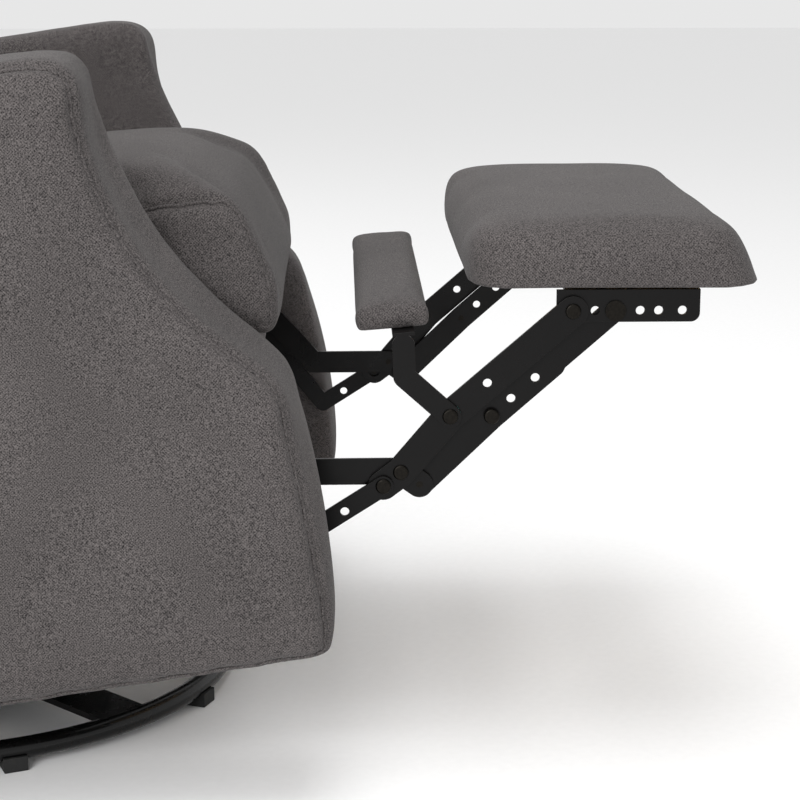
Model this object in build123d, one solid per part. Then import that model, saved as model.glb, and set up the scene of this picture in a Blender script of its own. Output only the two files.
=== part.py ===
"""Glider nursery chair: a padded chair that swivels and glides on a ring base, with a fold-out footrest.

X points to the front, Y to the sitter's left, Z up. The origin is on the floor, on the swivel axis.
The chair body is drawn level and then tipped back about the tilt pivot, as it stands with the footrest out.
Pieces that come in pairs are drawn on the left and mirrored. Lengths are millimetres.
"""
from build123d import *
import os
from math import atan2, degrees, hypot

# ---- overall sizes of the upholstered body, level ----
seat_opening = 506          # between the arms' inner faces
arm_thickness = 114
arm_bottom = 82
arm_top = 627
arm_front = 415
arm_rear = -300
rear_panel_bottom = 120
rear_panel_top = 288
deck_height = 345           # top of the seat rails
seat_height = 488
seat_front = 410
back_height = 700           # from the recline pivot to the top of the back
back_rake = 9               # degrees
soft_gap = 8                # between a cushion and the arm beside it

# ---- body tilt ----
rest_tilt = 8.8             # degrees, with the footrest out
tilt_pivot = (60, 80)       # 10 below the carriage rails' middle line

# ---- base and swivel ----
foot_height = 8
foot_width = 22
foot_count = 8
ring_radius = 290
ring_tube_radius = 10
cross_bar_width = 50
cross_bar_gauge = 6
plate_gauge = 3
lower_plate_side = 180
race_inner = 60
race_outer = 80
race_height = 5
race_gap = 3.1
ball_radius = 4
ball_count = 16
ball_play = 0.05
groove_depth = 2.5
king_bolt_radius = 8
plate_bolt_circle = 110
plate_bolt_radius = 4

# ---- glide ----
stand_y = 166               # inner face of a glide stand
hanger_x = 95
hanger_length = 100
hanger_pivot_z = hanger_length + tilt_pivot[1] + 10
hanger_width = 24
hanger_gauge = 4
shaft_radius = 6
bush_radius = shaft_radius + 2
side_gap = 1                # between plates that swing past each other
rail_height = 36
rail_end_x = 184
cross_tube_radius = 10
cross_tube_x = 172
tilt_pin_radius = 7
running_gap = 0.05          # radial, shaft in bush

# ---- seat frame ----
side_plate_height = 44
side_plate_front = 356
side_plate_rear = -215
rail_width = 24
front_rail_x = 366
rear_rail_x = -122
frame_tube = 25
front_tube_x = 75
rear_tube_x = -155
bracket_boss = 18
recline_pivot = (-190, 322)
wood_rail_drop = 27
spring_wire = 1.8
spring_rows = 5
cover_gauge = 2
frame_ply = 18

# ---- footrest linkage: sheet layers from the arm inwards, and pivots, body level ----
layer_pitch = plate_gauge + 0.7
link_width = 24
lower_link_width = 18
main_link_width = 27
control_link_width = 25
control_link_top_width = 21
middle_strap_width = 20
drive_pivot = (332.88, 325.0)
lower_pivot = (318.27, 323.0)
pivot_c = (469.5, 195.03)
pivot_d = (486.8, 204.3)
pivot_e = (501.6, 189.7)
pivot_m = (537.9, 248.7)
pivot_n = (574.5, 241.2)
pivot_f = (658.9, 324.5)
pivot_g = (696.2, 318.7)
upper_bend = (404, 217)
lower_bend = (406.6, 167.4)
control_step = (634, 279.1)
rivet_radius = 3
drive_pin_radius = 4
rivet_head_radius = 7
rivet_head_height = 2.2
sight_hole_radius = 4
play_c = 2.8                # extra radius where the closed linkage is opened
play_g = 4.2
drive_tube_radius = 10
drive_tube_wall = 2

# ---- footrest and middle pad, as they stand when out ----
pad_rear = 523
pad_front = 783
pad_width = seat_opening - 8
pad_bottom = 433
pad_top = 488
board_top = 444
bracket_bottom = 403
bracket_rear = 600
bracket_front = 727
flange_z = 432
flange_width = 28
middle_rear = 422
middle_front = 491
middle_bottom = 395
middle_board = 8
middle_thickness = 21
middle_width = seat_opening - 44
middle_slope = 5

# ---- release pull ----
release_x = 20
release_travel = 25
strip_width = 12

half_opening = seat_opening / 2
REST = (Pos(tilt_pivot[0], 0, tilt_pivot[1]) * Rot(0, -rest_tilt, 0)
        * Pos(-tilt_pivot[0], 0, -tilt_pivot[1]))
model = {}


def put(name, *solids):
    """Record the solids of one named piece."""
    found = [s for shape in solids for s in shape.solids()]
    model[name] = found[0] if len(found) == 1 else Compound(children=found)


def pair(name, shape):
    """Record a left-hand piece and its right-hand mirror image."""
    put(name + "_left", shape)
    put(name + "_right", mirror(shape, about=Plane.XZ))


def twins(name, shape):
    """Record a left-hand piece and its mirror image as two solids of one node."""
    put(name, shape, mirror(shape, about=Plane.XZ))


def both(shape):
    """A left-hand shape and its mirror image."""
    return [shape, mirror(shape, about=Plane.XZ)]


def upright(face, y_low, thickness):
    """Stand a face drawn in X and Z on edge and give it a thickness along +Y."""
    return Pos(0, y_low + thickness, 0) * extrude(Plane.XZ * face, amount=thickness)


def disc(centre, radius, y_low, thickness):
    """A round of sheet, or a pin, along Y."""
    return upright(Pos(*centre) * Circle(radius), y_low, thickness)


def strap(points, width):
    """The face of a flat bar that follows points, with round ends."""
    face = Pos(*points[0]) * Circle(width / 2)
    for (x0, z0), (x1, z1) in zip(points, points[1:]):
        turn = degrees(atan2(z1 - z0, x1 - x0))
        run = Rectangle(hypot(x1 - x0, z1 - z0), width)
        face += Pos((x0 + x1) / 2, (z0 + z1) / 2) * Rot(0, 0, turn) * run
        face += Pos(x1, z1) * Circle(width / 2)
    return face


def hull(*rounds):
    """The face that a belt round some circles (x, z, radius) encloses."""
    return make_hull([e for x, z, r in rounds for e in (Pos(x, z) * Circle(r)).edges()])


def bored(face, *holes):
    """A face with round holes (centre, radius)."""
    for centre, radius in holes:
        face -= Pos(*centre) * Circle(radius)
    return face


def outline(*curves):
    """A face enclosed by curves that follow each other."""
    edges = curves[0]
    for curve in curves[1:]:
        edges += curve
    return make_face(edges)


def layer(index):
    """Inner face of a linkage sheet: 0 is the side plate, and higher numbers lie further in."""
    return half_opening - plate_gauge - layer_pitch * index


def dome(centre, y_face, outward):
    """A rivet head on a face, domed away from it."""
    head = extrude(Circle(rivet_head_radius), amount=rivet_head_height)
    head = fillet(head.edges().group_by(Axis.Z)[-1], 0.8 * rivet_head_height)
    turn = -90 if outward else 90
    return Pos(centre[0], y_face, centre[1]) * Rot(turn, 0, 0) * head


# ---------------------------------------------------------------- base
tube_centre = foot_height + ring_tube_radius
bar_top = tube_centre + ring_tube_radius
lower_race_z = bar_top + plate_gauge
ball_z = lower_race_z + race_height - groove_depth + ball_radius + ball_play
upper_race_z = lower_race_z + race_height + race_gap
upper_plate_z = upper_race_z + race_height
upper_plate_top = upper_plate_z + plate_gauge


def ring():
    return Pos(0, 0, tube_centre) * Torus(ring_radius, ring_tube_radius)


def cross_bars():
    bars = [Rot(0, 0, a) * Rectangle(2 * ring_radius - 4, cross_bar_width) for a in (45, 135)]
    face = bars[0] + bars[1] - Circle(king_bolt_radius)
    for a in (45, 135, 225, 315):
        face -= Rot(0, 0, a) * Pos(plate_bolt_circle, 0) * Circle(plate_bolt_radius)
    return Pos(0, 0, bar_top - cross_bar_gauge) * extrude(face, amount=cross_bar_gauge)


def foot(angle):
    block = Box(ring_tube_radius * 2.4, foot_width, tube_centre - 4,
                align=(Align.CENTER, Align.CENTER, Align.MIN))
    block = fillet(block.edges().group_by(Axis.Z)[0], 1.5)
    return Rot(0, 0, angle) * Pos(ring_radius, 0, 0) * block - ring()


def lower_plate():
    face = RectangleRounded(lower_plate_side, lower_plate_side, 12) - Circle(king_bolt_radius)
    for a in (45, 135, 225, 315):
        face -= Rot(0, 0, a) * Pos(plate_bolt_circle, 0) * Circle(plate_bolt_radius)
    return Pos(0, 0, bar_top) * extrude(face, amount=plate_gauge)


def race(z, groove_z):
    middle = (race_inner + race_outer) / 2
    body = Pos(0, 0, z) * extrude(Circle(race_outer) - Circle(race_inner), amount=race_height)
    wide = ball_radius + 0.2
    groove = extrude(Circle(middle + wide) - Circle(middle - wide), amount=groove_depth)
    return body - Pos(0, 0, groove_z) * groove


def king_bolt():
    base = bar_top - cross_bar_gauge
    head = Pos(0, 0, base - 5) * extrude(RegularPolygon(13, 6), amount=5)
    shank = Pos(0, 0, base) * extrude(Circle(king_bolt_radius), amount=upper_plate_top + 8 - base)
    nut_face = RegularPolygon(14, 6) - Circle(king_bolt_radius)
    nut = Pos(0, 0, upper_plate_top + 0.3) * extrude(nut_face, amount=7)
    return head + shank + nut


def plate_bolt(angle):
    base = bar_top - cross_bar_gauge
    shank = Pos(0, 0, base - 7) * extrude(Circle(plate_bolt_radius), amount=cross_bar_gauge + plate_gauge + 7)
    head = Pos(0, 0, bar_top + plate_gauge) * extrude(RegularPolygon(7, 6), amount=4)
    nut = Pos(0, 0, base - 5) * extrude(RegularPolygon(7, 6), amount=5)
    return Rot(0, 0, angle) * Pos(plate_bolt_circle, 0, 0) * (shank + head + nut)


def make_base():
    put("ring_base", ring())
    put("cross_bars", cross_bars())
    step = 360 / foot_count
    put("base_feet", *[foot(step * (i + 0.5)) for i in range(foot_count)])
    put("swivel_plate_lower", lower_plate())
    put("ball_race_lower", race(lower_race_z, lower_race_z + race_height - groove_depth))
    ball = Pos((race_inner + race_outer) / 2, 0, ball_z) * Sphere(ball_radius)
    put("swivel_balls", *[Rot(0, 0, i * 360 / ball_count) * ball for i in range(ball_count)])
    put("king_bolt", king_bolt())
    put("plate_bolts", *[plate_bolt(a) for a in (45, 135, 225, 315)])


# ---------------------------------------------------------------- swivel head and glide
hanger_y = stand_y + plate_gauge + side_gap
rail_y = hanger_y + hanger_gauge + side_gap
rail_z = hanger_pivot_z - hanger_length
bracket_y = rail_y + hanger_gauge + 5
stand_foot_x = hanger_x + 14
stand_flange = 26
stand_bolts_at = [(x, stand_y - stand_flange / 2) for x in (-80, 0, 80)]
bolt_size = 3


def upper_plate():
    face = RectangleRounded(2 * stand_foot_x + 16, 2 * stand_y + 8, 20)
    face -= Circle(king_bolt_radius + running_gap)
    for x, y in stand_bolts_at:
        face -= Pos(x, y) * Circle(bolt_size)
        face -= Pos(x, -y) * Circle(bolt_size)
    return Pos(0, 0, upper_plate_z) * extrude(face, amount=plate_gauge)


def glide_stand():
    low = upper_plate_top + 10
    web = hull((-hanger_x, hanger_pivot_z, 14), (hanger_x, hanger_pivot_z, 14),
               (-stand_foot_x + 10, low, 10), (stand_foot_x - 10, low, 10))
    web = bored(web, ((-hanger_x, hanger_pivot_z), bush_radius), ((hanger_x, hanger_pivot_z), bush_radius),
                ((0, 120), 30))
    sheet = upright(web, stand_y, plate_gauge)
    flange = Pos(0, stand_y - stand_flange / 2, upper_plate_top + plate_gauge / 2)
    sheet += flange * Box(2 * (stand_foot_x - 10), stand_flange, plate_gauge)
    for x, y in stand_bolts_at:
        sheet -= Pos(x, y, upper_plate_top) * Cylinder(bolt_size, 4 * plate_gauge)
    return sheet


def stand_bolt(x, y):
    shank = Pos(x, y, upper_plate_z - 2) * extrude(Circle(bolt_size), amount=2 * plate_gauge + 2)
    head = Pos(x, y, upper_plate_top + plate_gauge) * extrude(RegularPolygon(6, 6), amount=3)
    return shank + head


def bush(x):
    sleeve = disc((x, hanger_pivot_z), bush_radius, stand_y, plate_gauge + side_gap / 2)
    sleeve += disc((x, hanger_pivot_z), bush_radius + 3, stand_y - 2, 2)
    return sleeve - disc((x, hanger_pivot_z), shaft_radius + running_gap, stand_y - 5, 20)


def hanger(x):
    face = strap([(x, hanger_pivot_z), (x, rail_z)], hanger_width)
    face = bored(face, ((x, hanger_pivot_z), shaft_radius), ((x, rail_z), shaft_radius + running_gap))
    return upright(face, hanger_y, hanger_gauge)


def hanger_shaft(x):
    reach = hanger_y + hanger_gauge
    shaft = disc((x, hanger_pivot_z), shaft_radius, -reach, 2 * reach)
    for head in both(dome((x, hanger_pivot_z), reach, True)):
        shaft += head
    return shaft


def carriage_rail():
    rear_end, front_end = -rail_end_x + rail_height / 2, rail_end_x - rail_height / 2
    face = strap([(rear_end, rail_z), (front_end, rail_z)], rail_height)
    holes = [((x, rail_z), shaft_radius) for x in (-hanger_x, hanger_x)]
    return upright(bored(face, *holes, (tilt_pivot, tilt_pin_radius)), rail_y, hanger_gauge)


def lower_pin(x):
    pin = disc((x, rail_z), shaft_radius, hanger_y, 2 * hanger_gauge + side_gap)
    return pin + dome((x, rail_z), rail_y + hanger_gauge, True)


def tilt_pin():
    start = rail_y
    end = bracket_y + hanger_gauge
    pin = disc(tilt_pivot, tilt_pin_radius, start, end - start)
    neck = disc(tilt_pivot, tilt_pin_radius, end, 0.3)
    return pin + disc(tilt_pivot, tilt_pin_radius + 4, end + 0.3, 3) + neck


def make_glide():
    put("ball_race_upper", race(upper_race_z, upper_race_z))
    put("swivel_plate_upper", upper_plate())
    twins("glide_stands", glide_stand())
    left_bolts = [stand_bolt(x, y) for x, y in stand_bolts_at]
    put("stand_bolts", *[b for bolt in left_bolts for b in both(bolt)])
    put("glide_bushes", *[b for x in (-hanger_x, hanger_x) for b in both(bush(x))])
    for name, x in (("front_hanger", hanger_x), ("rear_hanger", -hanger_x)):
        twins(name + "s", hanger(x))
        put(name + "_shaft", hanger_shaft(x))
    twins("carriage_rails", carriage_rail())
    tube_face = Circle(cross_tube_radius) - Circle(cross_tube_radius - 2)
    tubes = [upright(Pos(x, rail_z) * tube_face, -rail_y, 2 * rail_y) for x in (-cross_tube_x, cross_tube_x)]
    put("carriage_tubes", *tubes)
    pins = [b for x in (-hanger_x, hanger_x) for b in both(lower_pin(x))]
    put("carriage_pins", *pins, *both(tilt_pin()))


# ---------------------------------------------------------------- chair body
side_plate_z = deck_height - 1 - side_plate_height / 2
tube_low = side_plate_z - side_plate_height / 2 + 3


def level(shape):
    """Tip a level piece of the chair body back to where it stands at rest."""
    return REST * shape


def tilt_bracket():
    top = tube_low - bracket_boss
    face = hull((*tilt_pivot, bracket_boss),
                (front_tube_x, top, bracket_boss), (rear_tube_x, top, bracket_boss))
    face = bored(face, (tilt_pivot, tilt_pin_radius + running_gap), ((0, 220), 30))
    return upright(face, bracket_y, hanger_gauge)


def cross_tube(x):
    inner = half_opening - plate_gauge
    face = Rectangle(frame_tube, frame_tube) - Rectangle(frame_tube - 4, frame_tube - 4)
    return upright(Pos(x, tube_low + frame_tube / 2) * face, -inner, 2 * inner)


def side_plate():
    face = strap([(side_plate_rear, side_plate_z), (side_plate_front, side_plate_z)], side_plate_height)
    face = bored(face, (drive_pivot, drive_pin_radius), (lower_pivot, rivet_radius),
                 (recline_pivot, drive_pin_radius))
    return upright(face, half_opening - plate_gauge, plate_gauge)


def wood_rail(x):
    inner = half_opening - plate_gauge
    return Pos(x, 0, deck_height - wood_rail_drop / 2) * Box(rail_width, 2 * inner, wood_rail_drop)


def seat_spring(y):
    """A sinuous spring of round wire that lies on the seat rails."""
    count = 12
    start = rear_rail_x
    pitch = (front_rail_x - rear_rail_x) / count
    points = [(start, y)]
    for i in range(count):
        side = 20 if i % 2 else -20
        points += [(start + pitch * i, y + side), (start + pitch * (i + 1), y + side)]
    points.append((front_rail_x, y))
    wire = FilletPolyline(*[(x, v, deck_height + spring_wire + 0.1) for x, v in points], radius=9)
    profile = Plane(origin=wire @ 0, z_dir=wire % 0) * Circle(spring_wire)
    return sweep(profile, path=wire)


def arm_outline():
    low, top, front, rear = arm_bottom, arm_top, arm_front, arm_rear
    toe = ThreePointArc((front - 18, low), (front - 7, low + 4), (front - 4, low + 16))
    shin = ThreePointArc((front - 4, low + 16), (front, low + 138), (front - 4, low + 218))
    slope = Spline((front - 4, low + 218), (front - 10, low + 248), (front - 31, low + 271),
                   (front - 57, low + 298), (front - 86, low + 339), (front - 111, low + 390),
                   (front - 124, top - 107), (front - 129, top - 70), (front - 126, top - 33))
    brow = ThreePointArc((front - 126, top - 33), (front - 135, top - 12), (front - 160, top))
    heel = ThreePointArc((rear + 25, top - 6), (rear + 7, top - 14), (rear, top - 33))
    return outline(Line((rear, low), (front - 18, low)), toe, shin, slope, brow,
                   Line((front - 160, top), (rear + 25, top - 6)), heel, Line((rear, top - 33), (rear, low)))


def arm_frame():
    low, top, front, rear = arm_bottom, arm_top, arm_front, arm_rear
    corners = [(rear + 30, low), (front - 28, low), (front - 28, low + 210), (front - 90, low + 265),
               (front - 135, low + 345), (front - 150, top - 40), (rear + 30, top - 40)]
    return upright(make_face(Polyline(corners, close=True)), half_opening + 3, frame_ply)


def arm():
    return upright(arm_outline(), half_opening, arm_thickness) - arm_frame()


def seat_cushion():
    rear = rear_rail_x - rail_width / 2 + 1
    low = deck_height + 2 * spring_wire + cover_gauge + 1
    top, front = seat_height, seat_front
    nose = Spline((front - 22, low - 12), (front - 5, low + 6), (front, low + 34), (front - 4, low + 70),
                  (front - 10, low + 100), (front - 22, top - 14))
    crown = ThreePointArc((front - 22, top - 14), (130, top + 8), (rear, top - 8))
    lip = front_rail_x + rail_width / 2 + 1.5
    face = outline(Line((rear, low), (lip, low)), Line((lip, low), (lip + 1, low - 11)),
                   Line((lip + 1, low - 11), (front - 22, low - 12)), nose, crown,
                   Line((rear, top - 8), (rear, low)))
    half = half_opening - soft_gap
    return upright(face, -half, 2 * half)


def rear_panel():
    height = rear_panel_top - rear_panel_bottom
    return Pos(arm_rear + 6, 0, rear_panel_bottom + height / 2) * Box(12, seat_opening, height)


def spring_cover():
    length = front_rail_x - rear_rail_x + rail_width
    z = deck_height + 2 * spring_wire + 0.2 + cover_gauge / 2
    width = 2 * (half_opening - soft_gap)
    return Pos((front_rail_x + rear_rail_x) / 2, 0, z) * Box(length, width, cover_gauge)


def make_body():
    twins("tilt_brackets", level(tilt_bracket()))
    put("seat_tubes", level(cross_tube(front_tube_x)), level(cross_tube(rear_tube_x)))
    twins("mechanism_plates", level(side_plate()))
    put("seat_rails", level(wood_rail(front_rail_x)), level(wood_rail(rear_rail_x)))
    spacing = 2 * (half_opening - 60) / (spring_rows - 1)
    first = -(spring_rows - 1) / 2
    put("seat_springs", *[level(seat_spring(spacing * (first + i))) for i in range(spring_rows)])
    put("spring_cover", level(spring_cover()))
    put("seat_cushion", level(seat_cushion()))
    twins("arm_frames", level(arm_frame()))
    pair("arm", level(arm()))
    put("rear_panel", level(rear_panel()))


# ---------------------------------------------------------------- release pull
strip_y = half_opening - 3.4 - plate_gauge
strip_low = deck_height - 6 - release_travel - 10


def make_release():
    grip_z = seat_height + 18
    strip = Box(strip_width, 3, grip_z - strip_low)
    strip = Pos(release_x, -(strip_y + 1.5), (strip_low + grip_z) / 2) * strip
    tab = upright(Pos(release_x, grip_z) * (Circle(17) - Circle(9)), -(strip_y + 3), 3)
    foot_piece = Pos(release_x, -(strip_y + 1.5), strip_low - 6) * Box(strip_width + 8, 3, 16)
    put("release_pull", level(strip - disc((release_x, grip_z), 9, -strip_y - 9, 18) + tab + foot_piece))
    guide_z = deck_height - 4
    clip = Pos(release_x, -(half_opening - plate_gauge - 3.5), guide_z) * Box(strip_width + 10, 7, 4)
    slot = Pos(release_x, -(strip_y + 1.5), guide_z) * Box(strip_width + 0.6, 3.6, 20)
    put("release_guide", level(clip - slot))


# ---------------------------------------------------------------- reclining back
back_front = 54
cushion_rear = -38
frame_depth = 42
panel_gauge = 12
back_clear = 20             # from the pivot up to the back's lower edge
rail_inner = half_opening - 28


def leaned(shape):
    """Set an upright piece, drawn from the recline pivot, at the rake of the back."""
    pivot = Pos(recline_pivot[0], 0, recline_pivot[1])
    return level(pivot * Rot(0, -back_rake, 0) * shape)


def back_slab(x_low, x_high, inset):
    """A board across the back with rounded top corners."""
    half = half_opening - soft_gap - inset
    height = back_height - back_clear - 2 * inset
    middle = Pos((x_low + x_high) / 2, 0, back_clear + inset + height / 2)
    box = middle * Box(x_high - x_low, 2 * half, height)
    corners = box.edges().filter_by(Axis.X).group_by(Axis.Z)[-1]
    return fillet(corners, 60)


def back_cushion():
    slab = back_slab(cushion_rear, back_front, 0)
    front = slab.faces().sort_by(Axis.X)[-1]
    return fillet(front.edges(), 22)


def frame_member(y_low, y_high, z_low, z_high):
    size = Box(frame_depth, y_high - y_low, z_high - z_low)
    return Pos(cushion_rear - frame_depth / 2, (y_low + y_high) / 2, (z_low + z_high) / 2) * size


def make_back():
    outer = half_opening - plate_gauge - layer_pitch
    top = back_height - 75
    twins("back_posts", leaned(frame_member(rail_inner, outer, back_clear, top)))
    rails = [leaned(frame_member(-rail_inner, rail_inner, z, z + 50)) for z in (back_clear, 330, top - 50)]
    put("back_rails", *rails)
    heights = (150, 220, 430, 510)
    web = Pos(cushion_rear - frame_depth / 2, 0, 0) * Box(1.6, 2 * rail_inner, 50)
    put("back_webbing", *[leaned(Pos(0, 0, z) * web) for z in heights])
    put("back_cushion", leaned(back_cushion()))
    rear = cushion_rear - frame_depth
    put("back_panel", leaned(back_slab(rear - panel_gauge, rear, 0)))
    post_x = cushion_rear - frame_depth / 2
    face = hull((0, 0, 15), (post_x, 70, 15), (post_x, 160, 15))
    face = bored(face, ((0, 0), drive_pin_radius + running_gap))
    twins("recline_brackets", leaned(upright(face, outer, plate_gauge)))


# ---------------------------------------------------------------- footrest linkage
def link(index, points, width, *holes):
    return level(upright(bored(strap(points, width), *holes), layer(index), plate_gauge))


def pin(centre, radius, inner, outer):
    """A rivet shank from the inner face of one sheet to the outer face of another."""
    start = layer(inner)
    return disc(centre, radius, start, layer(outer) + plate_gauge - start)


def make_linkage():
    tight = rivet_radius
    free = rivet_radius + running_gap
    lower, main, upper, control = 1, 2, 3, 4
    twins("lower_links", link(lower, [lower_pivot, lower_bend, pivot_c], lower_link_width,
                            (lower_pivot, free), (pivot_c, tight), ((431.9, 177.5), sight_hole_radius)))
    pair("main_link", link(main, [pivot_c, pivot_d, pivot_m, pivot_f], main_link_width,
                           (pivot_c, tight + play_c), (pivot_d, free), (pivot_m, tight), (pivot_f, tight),
                           ((575, 272.7), sight_hole_radius)))
    pair("upper_link", link(upper, [drive_pivot, upper_bend, pivot_d, pivot_e], link_width,
                             (drive_pivot, drive_pin_radius + running_gap),
                             (pivot_d, tight), (pivot_e, tight)))
    face = strap([pivot_e, pivot_n, control_step], control_link_width)
    face += strap([control_step, pivot_g], control_link_top_width)
    face = bored(face, (pivot_e, free), (pivot_n, tight), (pivot_g, tight),
                 ((594, 253.9), sight_hole_radius), ((618, 269.2), sight_hole_radius))
    pair("control_link", level(upright(face, layer(control), plate_gauge)))
    tube_end = layer(upper)
    wall = Circle(drive_tube_radius) - Circle(drive_tube_radius - drive_tube_wall)
    put("drive_tube", level(upright(Pos(*drive_pivot) * wall, -tube_end, 2 * tube_end)))
    outer_face = half_opening
    drive_pin = disc(drive_pivot, drive_pin_radius, layer(upper) + 0.5, outer_face - layer(upper) - 0.5)
    a_pin = disc(lower_pivot, tight, layer(lower) - 0.3, outer_face - layer(lower) + 0.3)
    a_pin += dome(lower_pivot, layer(lower) - 0.2, False)
    hinge_pin = disc(recline_pivot, drive_pin_radius, layer(1) - 0.5, outer_face - layer(1) + 0.5)
    hinge_pin += dome(recline_pivot, layer(1) - 0.3, False)
    put("plate_rivets", *[level(s) for p in (drive_pin, a_pin, hinge_pin) for s in both(p)])
    c_pin = pin(pivot_c, tight, main, lower) + dome(pivot_c, layer(lower) + plate_gauge, True)
    put("lower_link_rivets", *[level(s) for s in both(c_pin)])
    head_gap = 0.2
    d_pin = disc(pivot_d, tight, layer(upper), layer(main) + plate_gauge + head_gap - layer(upper))
    d_pin += dome(pivot_d, layer(main) + plate_gauge + head_gap, True)
    e_start = layer(control) - head_gap
    e_length = layer(upper) + plate_gauge - e_start
    e_pin = disc(pivot_e, tight, e_start, e_length) + dome(pivot_e, e_start, False)
    put("upper_link_rivets", *[level(s) for p in (d_pin, e_pin) for s in both(p)])
    m_end = layer(lower) + plate_gauge + head_gap
    m_pin = disc(pivot_m, tight, layer(main), m_end - layer(main)) + dome(pivot_m, m_end, True)
    f_pin = disc(pivot_f, tight, layer(upper), layer(main) + plate_gauge - layer(upper))
    f_pin += dome(pivot_f, layer(main) + plate_gauge, True)
    put("main_link_rivets", *[level(s) for p in (m_pin, f_pin) for s in both(p)])
    g_end = layer(upper) + plate_gauge + head_gap
    g_pin = disc(pivot_g, tight, layer(control), g_end - layer(control))
    g_pin += disc(pivot_g, tight + play_g + 2, g_end, 1.8)
    n_pin = pin(pivot_n, tight, control, upper) + dome(pivot_n, layer(upper) + plate_gauge, True)
    put("control_link_rivets", *[level(s) for p in (g_pin, n_pin) for s in both(p)])
    washer = Pos(*pivot_m) * (Circle(rivet_head_radius + 3) - Circle(tight))
    m_washer = upright(washer, layer(main) + plate_gauge, layer_pitch - plate_gauge - 0.1)
    put("pivot_washers", *[level(s) for s in both(m_washer)])


# ---------------------------------------------------------------- footrest and middle pad
def at_rest(point):
    """Where a level point of the body stands at rest."""
    spot = REST * Pos(point[0], 0, point[1])
    return (spot.position.X, spot.position.Z)


screw_x = [bracket_rear + 20 + i * 29 for i in range(4)]
screw_radius = 2.2


def screw(x, y):
    shank = Pos(x, y, flange_z - plate_gauge) * extrude(Circle(screw_radius), amount=plate_gauge + 9)
    head = Pos(x, y, flange_z - plate_gauge - 1.8) * extrude(Circle(4), amount=1.8)
    return shank + head


def make_footrest():
    f = at_rest(pivot_f)
    g = at_rest(pivot_g)
    screw_y = layer(3) + plate_gauge - flange_width + 9
    screws = [s for x in screw_x for s in both(screw(x, screw_y))]
    length = bracket_front - bracket_rear
    face = Pos((bracket_rear + bracket_front) / 2, (bracket_bottom + flange_z) / 2) * Rectangle(
        length, flange_z - bracket_bottom)
    face = fillet(face.vertices().group_by(Axis.Y)[0], 8)
    sight = [((x, g[1]), sight_hole_radius) for x in (634.3, 674.1, 690.4, 711.4)]
    face = bored(face, (f, rivet_radius + running_gap), (g, rivet_radius + play_g), *sight)
    bracket = upright(face, layer(3), plate_gauge)
    flange = Box(length - 8, flange_width, plate_gauge, align=(Align.CENTER, Align.MAX, Align.MAX))
    bracket += Pos((bracket_rear + bracket_front) / 2 + 4, layer(3) + plate_gauge, flange_z) * flange
    for s in screws:
        bracket -= s
    twins("footrest_brackets", bracket)
    board = Pos(0, 0, flange_z) * extrude(
        Pos((pad_rear + pad_front) / 2, 0) * RectangleRounded(pad_front - pad_rear - 36, pad_width - 36, 30),
        amount=board_top - flange_z)
    pad = Pos(0, 0, pad_bottom) * extrude(
        Pos((pad_rear + pad_front) / 2, 0) * RectangleRounded(pad_front - pad_rear, pad_width, 42),
        amount=pad_top - pad_bottom)
    pad = fillet(pad.edges().group_by(Axis.Z)[-1], 16) - board
    for s in screws:
        board -= s
    put("footrest_board", board)
    put("footrest_pad", pad)
    put("footrest_screws", *screws)


def make_middle_pad():
    m = at_rest(pivot_m)
    centre = Pos((middle_rear + middle_front) / 2, 0, middle_bottom) * Rot(0, -middle_slope, 0)
    length = middle_front - middle_rear
    base = (Align.CENTER, Align.CENTER, Align.MIN)
    board = centre * Box(length - 6, middle_width - 6, middle_board, align=base)
    pad = centre * Box(length, middle_width, middle_thickness, align=base)
    pad = fillet(pad.edges().filter_by(Axis.Y).group_by(Axis.Z)[-1], 6)
    pad -= centre * Box(length - 6, middle_width - 6, 2 * middle_board)
    put("middle_board", board)
    put("middle_pad", pad)
    outer = layer(1) + plate_gauge
    foot_x = 465 - (middle_rear + middle_front) / 2
    flange = Box(middle_strap_width, outer - middle_width / 2 + 24, plate_gauge,
                 align=(Align.CENTER, Align.MAX, Align.MAX))
    flange = centre * Pos(foot_x, outer, 0) * flange
    face = strap([m, (466, 356), (465, middle_bottom - 11)], middle_strap_width)
    face = bored(face, (m, rivet_radius + running_gap))
    twins("middle_brackets", upright(face, layer(1), plate_gauge) + flange)


make_base()
make_glide()
make_body()
make_release()
make_back()
make_linkage()
make_footrest()
make_middle_pad()

os.makedirs("parts", exist_ok=True)
for node, shape in model.items():
    export_step(shape, os.path.join("parts", node + ".step"))
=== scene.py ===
from math import cos, pi, radians, sin

import bmesh
import bpy
import numpy as np
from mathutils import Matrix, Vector, kdtree, noise
from mathutils.bvhtree import BVHTree


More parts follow.
